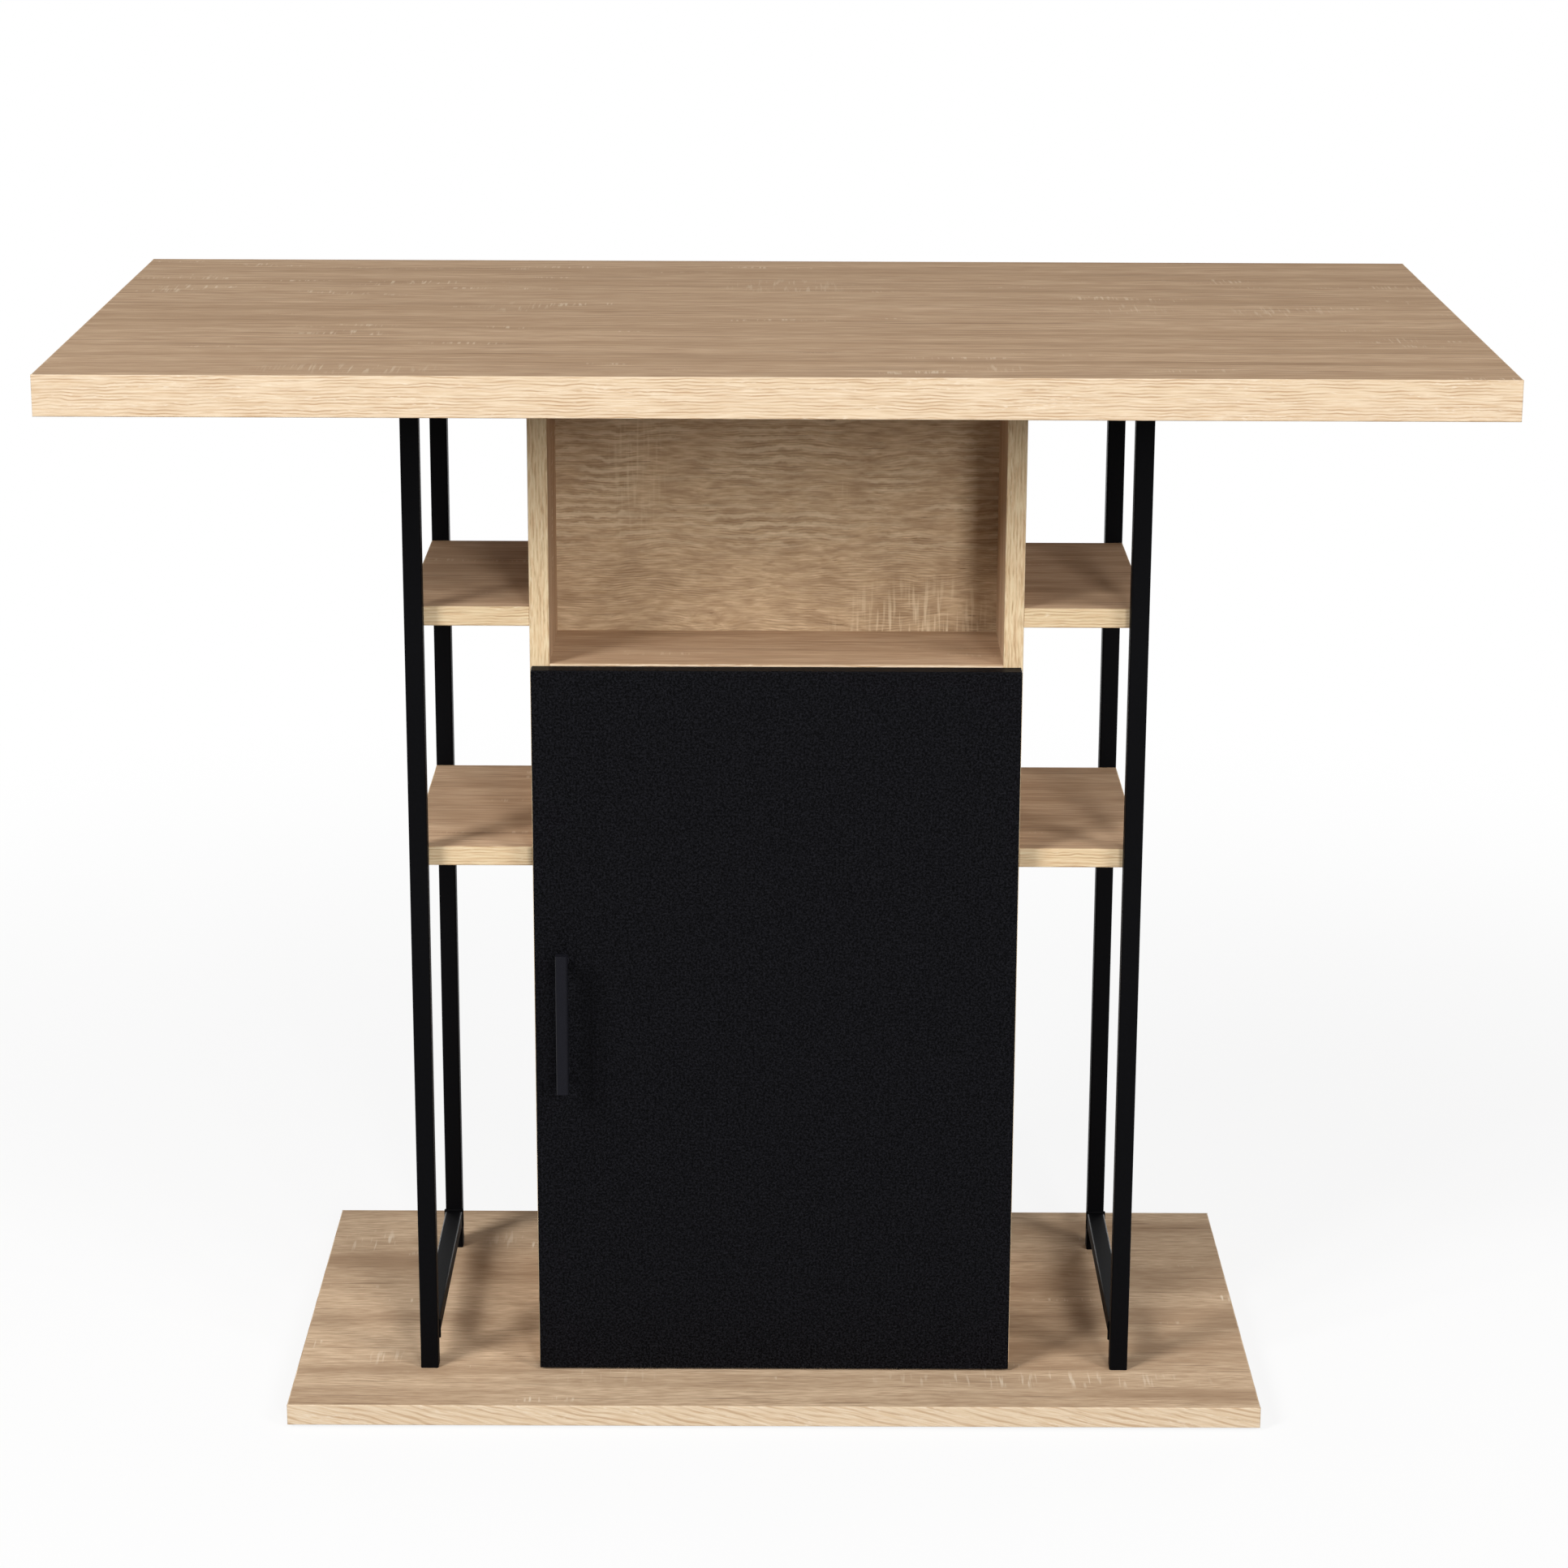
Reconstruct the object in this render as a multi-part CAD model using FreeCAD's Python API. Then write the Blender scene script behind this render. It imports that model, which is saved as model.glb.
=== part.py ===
import FreeCAD, Part
import math
import os

# Kitchen island: a narrow cabinet with an open two-sided niche over a cupboard, two shelves on each
# side carried by square-tube frames, an overhanging worktop above and a base plate below.
# Millimetres. X runs along the worktop, the door looks along -Y, Z is up.
# The origin is on the floor under the middle of the base plate.

# Whole island
island_height = 900.0
worktop_length = 1120.0
worktop_depth = 600.0
worktop_thickness = 32.0
base_length = 810.0
base_depth = 430.0
base_thickness = 18.0
panel_thickness = 16.0
band_thickness = 1.0

# Glides under the base plate
glide_height = 3.0
glide_diameter = 22.0
glide_inset = 40.0

# Cabinet
cabinet_width = 400.0
cabinet_depth = 250.0
niche_height = 218.0
inner_shelf_height = 296.0
inner_shelf_setback = 30.0
inner_shelf_play = 0.5
shelf_pin_diameter = 5.0
shelf_pin_length = 17.0
shelf_pin_depth = 9.0
shelf_pin_spread = 160.0

# Side frames of square steel tube and the shelves between them and the cabinet
frame_width = 600.0
frame_depth = 280.0
tube_size = 15.0
tube_wall = 1.2
tube_corner = 1.5
bottom_rail_lift = 22.0
side_bay_height = 186.5
shelf_play = 0.25
tab_length = 22.0
tab_width = 11.0
tab_thickness = 2.0
foot_plate_thickness = 4.0
foot_plate_play = 0.1

# Door and handle
door_thickness = 16.0
door_gap = 2.0
door_side_reveal = 1.5
door_top_reveal = 1.0
door_bottom_reveal = 2.0
bumper_diameter = 8.0
bumper_play = 0.1
bumper_inset = 40.0
handle_length = 120.0
handle_width = 10.0
handle_bar_depth = 9.0
handle_round = 2.5
handle_spacing = 96.0
handle_projection = 28.0
handle_post_diameter = 8.0
handle_edge_distance = 23.5
handle_rise = 11.0

# Concealed hinges
hinge_end_distance = 100.0
cup_diameter = 34.8
cup_depth = 11.5
cup_wall = 1.1
cup_edge_distance = 5.1
cup_bore_play = 0.1
ear_width = 20.0
ear_offset = 3.5
ear_height = 56.0
ear_thickness = 1.2
ear_screw_offset = 9.5
ear_screw_spacing = 45.0
arm_pivot_inset = 16.2
arm_pivot_reach = 1.8
arm_cheek = 1.5
arm_nose_radius = 2.2
arm_inner_width = 11.0
arm_length = 64.0
arm_web_setback = 6.0
cup_pivot_inset = 3.7
cup_pivot_depth = 3.0
cup_pin_play = 0.2
link_width = 10.0
link_thickness = 2.0
link_cup_eye_radius = 2.0
link_bend_across = 0.6
link_bend_deep = 4.2
hinge_pin_diameter = 2.0
hinge_pin_play = 0.05
plate_height = 7.5
plate_length = 36.0
plate_setback = 37.0
wing_thickness = 2.0
wing_length = 18.0
wing_height = 50.0
wing_screw_spacing = 36.0

# Fasteners
fastener_play = 0.05
dowel_diameter = 8.0
dowel_length = 30.0
dowel_depth_in_side = 10.0
dowel_spread = 160.0
wood_screw_diameter = 3.5
wood_screw_head = 6.5
wood_screw_head_height = 1.2
wood_screw_grip = 12.0
worktop_screw_diameter = 4.0
worktop_screw_head = 8.0
worktop_screw_head_height = 2.5
worktop_screw_grip = 20.0
cabinet_screw_diameter = 7.0
cabinet_screw_head = 10.0
cabinet_screw_grip = 30.0
base_bolt_diameter = 6.0
base_bolt_head = 12.0
base_bolt_past_plate = 6.0
base_sink = 5.0
base_head_height = 4.0
handle_screw_diameter = 4.0
handle_screw_head = 8.0
handle_screw_head_height = 2.0
handle_screw_grip = 9.0
arm_screw_diameter = 4.0
arm_screw_head = 8.0
arm_screw_head_height = 2.0
arm_screw_grip = 3.0

# Heights and faces that several pieces share
base_bottom = glide_height
base_top = base_bottom + base_thickness
worktop_bottom = island_height - worktop_thickness
cabinet_outer = cabinet_width / 2
cabinet_inner = cabinet_outer - panel_thickness
cabinet_front = -cabinet_depth / 2
cabinet_back = cabinet_depth / 2
top_panel_bottom = worktop_bottom - panel_thickness
niche_floor_top = top_panel_bottom - niche_height
niche_floor_bottom = niche_floor_top - panel_thickness
frame_outer = frame_width / 2
frame_inner = frame_outer - tube_size
frame_front = -frame_depth / 2
frame_back = frame_depth / 2
leg_front_inner = frame_front + tube_size
leg_back_inner = frame_back - tube_size
upper_shelf_bottom = worktop_bottom - side_bay_height - panel_thickness
lower_shelf_bottom = upper_shelf_bottom - side_bay_height - panel_thickness
inner_shelf_bottom = base_top + inner_shelf_height
rear_panel_front = cabinet_back - panel_thickness
door_edge = cabinet_outer - door_side_reveal
door_back = cabinet_front - door_gap
door_front = door_back - door_thickness
door_bottom = base_top + door_bottom_reveal
door_top = niche_floor_top - door_top_reveal

X_AXIS = FreeCAD.Vector(1, 0, 0)
Y_AXIS = FreeCAD.Vector(0, 1, 0)
Z_AXIS = FreeCAD.Vector(0, 0, 1)
SIDES = (("left", -1), ("right", 1))

nodes = {}


def point(x, y, z):
    return FreeCAD.Vector(x, y, z)


def block(x_pair, y_pair, z_pair):
    """A box between two values on each axis, given in either order."""
    low = point(min(x_pair), min(y_pair), min(z_pair))
    high = point(max(x_pair), max(y_pair), max(z_pair))
    size = high - low
    return Part.makeBox(size.x, size.y, size.z, low)


def rod(diameter, start, direction, length):
    return Part.makeCylinder(diameter / 2, length, start, direction)


def screw(seat, direction, shank, length, head, head_height):
    """A screw whose head lies behind its seat and whose shank runs on from the seat."""
    body = rod(shank, seat, direction, length)
    cap = rod(head, seat - direction * head_height, direction, head_height)
    return body.fuse(cap).removeSplitter()


def hole(diameter, start, direction, length):
    """The room that a fastener of this diameter needs, with its play all round."""
    return rod(diameter + 2 * fastener_play, start, direction, length + fastener_play)


def without(shape, cutters):
    return shape.cut(Part.makeCompound(cutters)) if cutters else shape


def prism(points, bottom, top):
    """A solid that stands on a closed outline in plan."""
    corners = [point(p.x, p.y, bottom) for p in points]
    outline = Part.makePolygon(corners + corners[:1])
    return Part.Face(outline).extrude(Z_AXIS * (top - bottom))


def square_tube(x_pair, y_pair, z_pair, run):
    """A hollow square tube whose long edges are rounded; run is the direction of its length."""
    outer = block(x_pair, y_pair, z_pair)
    long_edges = [e for e in outer.Edges if abs(e.tangentAt(e.FirstParameter).dot(run)) > 0.9]
    outer = outer.makeFillet(tube_corner, long_edges)
    box = outer.BoundBox
    inset = (X_AXIS + Y_AXIS + Z_AXIS - run) * tube_wall
    low = point(box.XMin, box.YMin, box.ZMin) + inset
    high = point(box.XMax, box.YMax, box.ZMax) - inset
    bore = block((low.x, high.x), (low.y, high.y), (low.z, high.z))
    return outer.cut(bore)


# Dowels: they pin every panel that meets a cabinet side, and the shelves outside it
dowels = []
dowel_holes = []


def add_dowel(side, face_x, inward, y, z):
    """A dowel through a face of a cabinet side; inward points into the side panel."""
    depth = dowel_depth_in_side
    start_x = face_x + inward * depth
    start = point(side * start_x, y, z)
    direction = X_AXIS * (-side * inward)
    dowels.append(rod(dowel_diameter, start, direction, dowel_length))
    dowel_holes.append(hole(dowel_diameter, start, direction, dowel_length))


for name, side in SIDES:
    half_panel = panel_thickness / 2
    for y in (-dowel_spread / 2, dowel_spread / 2):
        add_dowel(side, cabinet_inner, 1, y, top_panel_bottom + half_panel)
        add_dowel(side, cabinet_inner, 1, y, niche_floor_bottom + half_panel)
        add_dowel(side, cabinet_outer, -1, y, upper_shelf_bottom + half_panel)
        add_dowel(side, cabinet_outer, -1, y, lower_shelf_bottom + half_panel)
    rear_middle = rear_panel_front + half_panel
    for share in (0.2, 0.5, 0.8):
        add_dowel(side, cabinet_inner, 1, rear_middle, base_top + share * (niche_floor_bottom - base_top))
    for share in (0.3, 0.7):
        add_dowel(side, cabinet_inner, 1, 0, niche_floor_top + share * niche_height)

nodes["dowels"] = Part.makeCompound(dowels)

# Worktop: one thick board with a band glued on each edge, held by screws from below
worktop_screws = []
worktop_holes = []


def add_worktop_screw(x, y, seat_z):
    length = worktop_bottom - seat_z + worktop_screw_grip
    seat = point(x, y, seat_z)
    worktop_screws.append(screw(seat, Z_AXIS, worktop_screw_diameter, length,
                                worktop_screw_head, worktop_screw_head_height))
    worktop_holes.append(hole(worktop_screw_diameter, seat, Z_AXIS, length))


for name, side in SIDES:
    for y in (-dowel_spread / 4, dowel_spread / 4):
        add_worktop_screw(side * cabinet_inner / 2, y, top_panel_bottom)
        add_worktop_screw(side * (frame_outer - tube_size / 2), y, worktop_bottom - tube_size)

nodes["worktop_screws"] = Part.makeCompound(worktop_screws)


def board_with_bands(length, depth, bottom, top):
    """A board and the four bands round it: the long bands lap the ends of the short ones."""
    x = length / 2
    y = depth / 2
    core_x = x - band_thickness
    core_y = y - band_thickness
    core = block((-core_x, core_x), (-core_y, core_y), (bottom, top))
    bands = []
    for sign in (-1, 1):
        bands.append(block((-x, x), (sign * core_y, sign * y), (bottom, top)))
        bands.append(block((sign * core_x, sign * x), (-core_y, core_y), (bottom, top)))
    return core, Part.makeCompound(bands)


worktop, worktop_bands = board_with_bands(worktop_length, worktop_depth, worktop_bottom, island_height)
nodes["worktop"] = without(worktop, worktop_holes)
nodes["worktop_edge_bands"] = worktop_bands

# Base plate, its glides, the bolts up into the frames and the screws up into the cabinet sides
base_bolts = []
cabinet_screws = []
base_rooms = []
foot_plates = []
seat_z = base_bottom + base_sink
foot_plate_top = base_top + foot_plate_thickness
leg_places = [(sx * (frame_outer - tube_size / 2), sy * (frame_back - tube_size / 2))
              for sx in (-1, 1) for sy in (-1, 1)]
side_places = [(sx * (cabinet_outer - panel_thickness / 2), sy * dowel_spread / 2)
               for sx in (-1, 1) for sy in (-1, 1)]


def add_base_room(x, y, shank, head, length):
    below = point(x, y, base_bottom)
    base_rooms.append(hole(head, below, Z_AXIS, base_sink))
    base_rooms.append(hole(shank, below, Z_AXIS, base_sink + length))


bolt_length = foot_plate_top + base_bolt_past_plate - seat_z
foot_half = tube_size / 2 - tube_wall - foot_plate_play
for x, y in leg_places:
    base_bolts.append(screw(point(x, y, seat_z), Z_AXIS, base_bolt_diameter, bolt_length,
                            base_bolt_head, base_head_height))
    add_base_room(x, y, base_bolt_diameter, base_bolt_head, bolt_length)
    plate = block((x - foot_half, x + foot_half), (y - foot_half, y + foot_half), (base_top, foot_plate_top))
    bolt_hole = hole(base_bolt_diameter, point(x, y, base_top), Z_AXIS, foot_plate_thickness)
    foot_plates.append(plate.cut(bolt_hole))

cabinet_screw_length = base_top + cabinet_screw_grip - seat_z
for x, y in side_places:
    cabinet_screws.append(screw(point(x, y, seat_z), Z_AXIS, cabinet_screw_diameter, cabinet_screw_length,
                                cabinet_screw_head, base_head_height))
    add_base_room(x, y, cabinet_screw_diameter, cabinet_screw_head, cabinet_screw_length)

nodes["base_bolts"] = Part.makeCompound(base_bolts)
nodes["cabinet_screws"] = Part.makeCompound(cabinet_screws)
nodes["leg_foot_plates"] = Part.makeCompound(foot_plates)

base, base_bands = board_with_bands(base_length, base_depth, base_bottom, base_top)
nodes["base_plate"] = without(base, base_rooms)
nodes["base_edge_bands"] = base_bands

glides = []
for x in (-base_length / 2 + glide_inset, 0, base_length / 2 - glide_inset):
    for y in (-base_depth / 2 + glide_inset, base_depth / 2 - glide_inset):
        glides.append(rod(glide_diameter, point(x, y, 0), Z_AXIS, glide_height))
nodes["base_glides"] = Part.makeCompound(glides)

# Concealed hinges: measured from the door's hinge edge (across) and its back face (deep)


def hinge_point(across, deep):
    return point(door_edge - across, door_back - deep, 0)


cup_radius = cup_diameter / 2
cup_middle = cup_edge_distance + cup_radius
cup_bore_radius = cup_radius - cup_wall
arm_pivot = point(cabinet_inner - arm_pivot_inset, cabinet_front - arm_pivot_reach, 0)
cup_pivot_across = cup_edge_distance + cup_wall + cup_pivot_inset
cup_pivot = hinge_point(cup_pivot_across, cup_pivot_depth)
link_bend = hinge_point(cup_pivot_across + link_bend_across, cup_pivot_depth + link_bend_deep)
cup_centre = hinge_point(cup_middle, 0)
plate_top = cabinet_inner - plate_height
plate_middle = cabinet_front + plate_setback
plate_front = plate_middle - plate_length / 2
arm_back = cabinet_front + arm_length
arm_top = arm_pivot.x - arm_nose_radius
arm_screw_y = plate_middle
hinge_heights = (("lower", door_bottom + hinge_end_distance), ("upper", door_top - hinge_end_distance))

hinge_plate_screws = []
hinge_arm_screws = []
hinge_cup_screws = []
hinge_side_holes = []
hinge_door_rooms = []


def upright_rod(diameter, place, bottom, top):
    return rod(diameter, point(place.x, place.y, bottom), Z_AXIS, top - bottom)


def hinge_cup(middle):
    """A round cup let into the door, with an ear above and below for its screws."""
    centre = point(cup_centre.x, cup_centre.y, middle)
    ear_near = cup_middle + ear_offset - ear_width / 2
    ear_far = ear_near + ear_width
    shell = rod(cup_diameter, centre, -Y_AXIS, cup_depth)
    ears = block((door_edge - ear_far, door_edge - ear_near), (door_back, door_back + ear_thickness),
                 (middle - ear_height / 2, middle + ear_height / 2))
    mouth = centre + Y_AXIS * ear_thickness
    hollow = rod(2 * cup_bore_radius, mouth, -Y_AXIS, cup_depth - cup_wall + ear_thickness)
    hinge_door_rooms.append(rod(cup_diameter + 2 * cup_bore_play, centre, -Y_AXIS, cup_depth + cup_bore_play))
    holes = []
    for sign in (-1, 1):
        seat = point(door_edge - cup_middle - ear_screw_offset, door_back + ear_thickness,
                     middle + sign * ear_screw_spacing / 2)
        hinge_cup_screws.append(screw(seat, -Y_AXIS, wood_screw_diameter, wood_screw_grip,
                                      wood_screw_head, wood_screw_head_height))
        holes.append(hole(wood_screw_diameter, seat, -Y_AXIS, wood_screw_grip))
    hinge_door_rooms.extend(holes)
    return without(shell.fuse(ears).cut(hollow), holes)


def hinge_cup_pin(middle):
    """The pin across the cup on which the link turns."""
    outermost = cup_middle - cup_pivot_across + hinge_pin_diameter / 2
    reach = math.sqrt(cup_bore_radius ** 2 - outermost ** 2) - cup_pin_play
    return upright_rod(hinge_pin_diameter, cup_pivot, middle - reach, middle + reach)


def hinge_link(middle):
    """A bent link from the arm's pin to the cup's pin: it dips into the cup past the door's rim."""
    bottom = middle - link_width / 2
    top = middle + link_width / 2
    body = upright_rod(2 * link_cup_eye_radius, cup_pivot, bottom, top)
    body = body.fuse(upright_rod(2 * arm_nose_radius, arm_pivot, bottom, top))
    body = body.fuse(upright_rod(link_thickness, link_bend, bottom, top))
    for start, end in ((cup_pivot, link_bend), (link_bend, arm_pivot)):
        along = (end - start).normalize()
        beside = along.cross(Z_AXIS) * (link_thickness / 2)
        body = body.fuse(prism([start + beside, end + beside, end - beside, start - beside], bottom, top))
    pin_room = hinge_pin_diameter + 2 * hinge_pin_play
    body = body.cut(upright_rod(pin_room, cup_pivot, bottom, top))
    return body.cut(upright_rod(pin_room, arm_pivot, bottom, top)).removeSplitter()


def hinge_arm(middle):
    """A channel: two cheeks that hold the front pin, under a web that the arm's screw goes through."""
    inner = arm_inner_width / 2
    nose_low = arm_pivot.x + arm_nose_radius
    shoulder = plate_front - plate_height
    outline = [point(arm_top, arm_pivot.y, 0), point(arm_top, arm_back, 0),
               point(plate_top, arm_back, 0), point(plate_top, plate_front, 0),
               point(nose_low, shoulder, 0), point(nose_low, arm_pivot.y, 0)]
    body = block((arm_top, arm_top + arm_cheek), (arm_pivot.y + arm_web_setback, arm_back),
                 (middle - inner, middle + inner))
    for bottom in (middle - inner - arm_cheek, middle + inner):
        top = bottom + arm_cheek
        cheek = prism(outline, bottom, top)
        cheek = cheek.fuse(upright_rod(2 * arm_nose_radius, arm_pivot, bottom, top))
        body = body.fuse(cheek.cut(upright_rod(hinge_pin_diameter, arm_pivot, bottom, top)))
    seat = point(arm_top, arm_screw_y, middle)
    length = plate_top - arm_top + arm_screw_grip
    hinge_arm_screws.append(screw(seat, X_AXIS, arm_screw_diameter, length,
                                  arm_screw_head, arm_screw_head_height))
    return body.cut(hole(arm_screw_diameter, seat, X_AXIS, length)).removeSplitter()


def hinge_arm_pin(middle):
    reach = arm_inner_width / 2 + arm_cheek
    return upright_rod(hinge_pin_diameter, arm_pivot, middle - reach, middle + reach)


def hinge_plate(middle):
    """The mounting plate: a raised block on two wings that are screwed to the cabinet side."""
    core_half = arm_inner_width / 2 + arm_cheek
    wing_top = cabinet_inner - wing_thickness
    core = block((plate_top, wing_top), (plate_front, plate_front + plate_length),
                 (middle - core_half, middle + core_half))
    wings = block((wing_top, cabinet_inner), (plate_middle - wing_length / 2, plate_middle + wing_length / 2),
                  (middle - wing_height / 2, middle + wing_height / 2))
    foot = block((wing_top, cabinet_inner), (plate_front, plate_front + plate_length),
                 (middle - core_half, middle + core_half))
    arm_screw_hole = hole(arm_screw_diameter, point(plate_top, arm_screw_y, middle), X_AXIS, arm_screw_grip)
    holes = []
    for sign in (-1, 1):
        seat = point(wing_top, plate_middle, middle + sign * wing_screw_spacing / 2)
        length = wing_thickness + wood_screw_grip
        hinge_plate_screws.append(screw(seat, X_AXIS, wood_screw_diameter, length,
                                        wood_screw_head, wood_screw_head_height))
        holes.append(hole(wood_screw_diameter, seat, X_AXIS, length))
    hinge_side_holes.extend(holes)
    return without(core.fuse(wings).fuse(foot).removeSplitter(), holes + [arm_screw_hole])


for name, height in hinge_heights:
    nodes[name + "_hinge_cup"] = hinge_cup(height)
    nodes[name + "_hinge_cup_pin"] = hinge_cup_pin(height)
    nodes[name + "_hinge_link"] = hinge_link(height)
    nodes[name + "_hinge_arm"] = hinge_arm(height)
    nodes[name + "_hinge_arm_pin"] = hinge_arm_pin(height)
    nodes[name + "_hinge_plate"] = hinge_plate(height)

nodes["hinge_plate_screws"] = Part.makeCompound(hinge_plate_screws)
nodes["hinge_arm_screws"] = Part.makeCompound(hinge_arm_screws)
nodes["hinge_cup_screws"] = Part.makeCompound(hinge_cup_screws)

# Cabinet: two full-height sides, a top panel, the niche floor and partition, a rear panel and a shelf
shelf_pins = []
shelf_pin_holes = []
inner_shelf_middle = (cabinet_front + inner_shelf_setback + rear_panel_front) / 2
for name, side in SIDES:
    for y in (-shelf_pin_spread / 2, shelf_pin_spread / 2):
        start = point(side * (cabinet_inner + shelf_pin_depth), inner_shelf_middle + y,
                      inner_shelf_bottom - shelf_pin_diameter / 2 - fastener_play)
        shelf_pins.append(rod(shelf_pin_diameter, start, X_AXIS * -side, shelf_pin_length))
        shelf_pin_holes.append(hole(shelf_pin_diameter, start, X_AXIS * -side, shelf_pin_length))
nodes["shelf_pins"] = Part.makeCompound(shelf_pins)

side_bands = []
core_front = cabinet_front + band_thickness
core_back = cabinet_back - band_thickness
for name, side in SIDES:
    across = (side * cabinet_inner, side * cabinet_outer)
    upright = (base_top, worktop_bottom)
    panel = block(across, (core_front, core_back), upright)
    side_holes = dowel_holes + base_rooms + shelf_pin_holes + hinge_side_holes
    nodes["cabinet_side_" + name] = without(panel, side_holes)
    side_bands.append(block(across, (cabinet_front, core_front), upright))
    side_bands.append(block(across, (core_back, cabinet_back), upright))
nodes["cabinet_side_bands"] = Part.makeCompound(side_bands)

inside = (-cabinet_inner, cabinet_inner)
top_panel = block(inside, (cabinet_front, cabinet_back), (top_panel_bottom, worktop_bottom))
nodes["cabinet_top"] = without(top_panel, dowel_holes + worktop_holes)

niche_floor = block(inside, (core_front, core_back), (niche_floor_bottom, niche_floor_top))
nodes["niche_floor"] = without(niche_floor, dowel_holes)
nodes["niche_floor_bands"] = Part.makeCompound([
    block(inside, (cabinet_front, core_front), (niche_floor_bottom, niche_floor_top)),
    block(inside, (core_back, cabinet_back), (niche_floor_bottom, niche_floor_top))])

partition = block(inside, (-panel_thickness / 2, panel_thickness / 2), (niche_floor_top, top_panel_bottom))
nodes["niche_partition"] = without(partition, dowel_holes)

rear_panel = block(inside, (rear_panel_front, cabinet_back), (base_top, niche_floor_bottom))
nodes["rear_panel"] = without(rear_panel, dowel_holes)

inner_shelf_x = cabinet_inner - inner_shelf_play
inner_shelf_front = cabinet_front + inner_shelf_setback
inner_shelf_back = rear_panel_front - inner_shelf_play
inner_shelf_up = (inner_shelf_bottom, inner_shelf_bottom + panel_thickness)
nodes["inner_shelf"] = block((-inner_shelf_x, inner_shelf_x),
                             (inner_shelf_front + band_thickness, inner_shelf_back), inner_shelf_up)
nodes["inner_shelf_band"] = block((-inner_shelf_x, inner_shelf_x),
                                  (inner_shelf_front, inner_shelf_front + band_thickness), inner_shelf_up)

# Side frames: legs with a raised bottom rail and a top rail welded between them, and shelf tabs
shelf_levels = (("lower", lower_shelf_bottom), ("upper", upper_shelf_bottom))
shelf_tabs = []
shelf_screws = []
shelf_screw_holes = []
for name, side in SIDES:
    across = (side * frame_inner, side * frame_outer)
    between_legs = (leg_front_inner, leg_back_inner)
    leg_rise = (base_top, worktop_bottom)
    rail_bottom = base_top + bottom_rail_lift
    nodes[name + "_front_leg"] = square_tube(across, (frame_front, leg_front_inner), leg_rise, Z_AXIS)
    nodes[name + "_rear_leg"] = square_tube(across, (leg_back_inner, frame_back), leg_rise, Z_AXIS)
    bottom_rail_rise = (rail_bottom, rail_bottom + tube_size)
    top_rail_rise = (worktop_bottom - tube_size, worktop_bottom)
    nodes[name + "_bottom_rail"] = square_tube(across, between_legs, bottom_rail_rise, Y_AXIS)
    top_rail = square_tube(across, between_legs, top_rail_rise, Y_AXIS)
    nodes[name + "_top_rail"] = without(top_rail, worktop_holes)
    tab_x = side * (frame_outer - tube_size / 2)
    for level, bottom in shelf_levels:
        for leg_face, inward in ((leg_front_inner, 1), (leg_back_inner, -1)):
            tab = block((tab_x - tab_width / 2, tab_x + tab_width / 2),
                        (leg_face, leg_face + inward * tab_length), (bottom - tab_thickness, bottom))
            seat = point(tab_x, leg_face + inward * tab_length / 2, bottom - tab_thickness)
            length = tab_thickness + wood_screw_grip
            shelf_screws.append(screw(seat, Z_AXIS, wood_screw_diameter, length,
                                      wood_screw_head, wood_screw_head_height))
            room = hole(wood_screw_diameter, seat, Z_AXIS, length)
            shelf_screw_holes.append(room)
            shelf_tabs.append(tab.cut(room))
nodes["shelf_tabs"] = Part.makeCompound(shelf_tabs)
nodes["shelf_screws"] = Part.makeCompound(shelf_screws)

# Side shelves: banded on the three edges that show
shelf_bands = []
shelf_front = leg_front_inner + shelf_play
shelf_back = leg_back_inner - shelf_play
shelf_outer = frame_outer - band_thickness
for name, side in SIDES:
    for level, bottom in shelf_levels:
        rise = (bottom, bottom + panel_thickness)
        board = block((side * cabinet_outer, side * shelf_outer),
                      (shelf_front + band_thickness, shelf_back - band_thickness), rise)
        nodes[name + "_" + level + "_shelf"] = without(board, dowel_holes + shelf_screw_holes)
        shelf_bands.append(block((side * shelf_outer, side * frame_outer), (shelf_front, shelf_back), rise))
        for edge, inward in ((shelf_front, 1), (shelf_back, -1)):
            shelf_bands.append(block((side * cabinet_outer, side * shelf_outer),
                                     (edge, edge + inward * band_thickness), rise))
nodes["side_shelf_bands"] = Part.makeCompound(shelf_bands)

# Handle: a bar with rounded front edges on two posts, screwed on from behind the door
handle_x = -door_edge + handle_edge_distance
handle_z = (door_bottom + door_top) / 2 + handle_rise
bar_front = door_front - handle_projection
bar_back = bar_front + handle_bar_depth
bar = block((handle_x - handle_width / 2, handle_x + handle_width / 2), (bar_front, bar_back),
            (handle_z - handle_length / 2, handle_z + handle_length / 2))
front_edges = [e for e in bar.Edges
               if abs(e.CenterOfMass.y - bar_front) < 0.01 and abs(e.CenterOfMass.z - handle_z) < 0.01]
nodes["handle_bar"] = bar.makeFillet(handle_round, front_edges)

handle_posts = []
handle_screws = []
handle_door_holes = []
for sign in (-1, 1):
    z = handle_z + sign * handle_spacing / 2
    seat = point(handle_x, door_back, z)
    length = door_thickness + handle_screw_grip
    room = hole(handle_screw_diameter, seat, -Y_AXIS, length)
    post = rod(handle_post_diameter, point(handle_x, door_front, z), -Y_AXIS, door_front - bar_back)
    handle_posts.append(post.cut(room))
    handle_screws.append(screw(seat, -Y_AXIS, handle_screw_diameter, length,
                               handle_screw_head, handle_screw_head_height))
    handle_door_holes.append(room)
nodes["handle_posts"] = Part.makeCompound(handle_posts)
nodes["handle_screws"] = Part.makeCompound(handle_screws)

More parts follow.
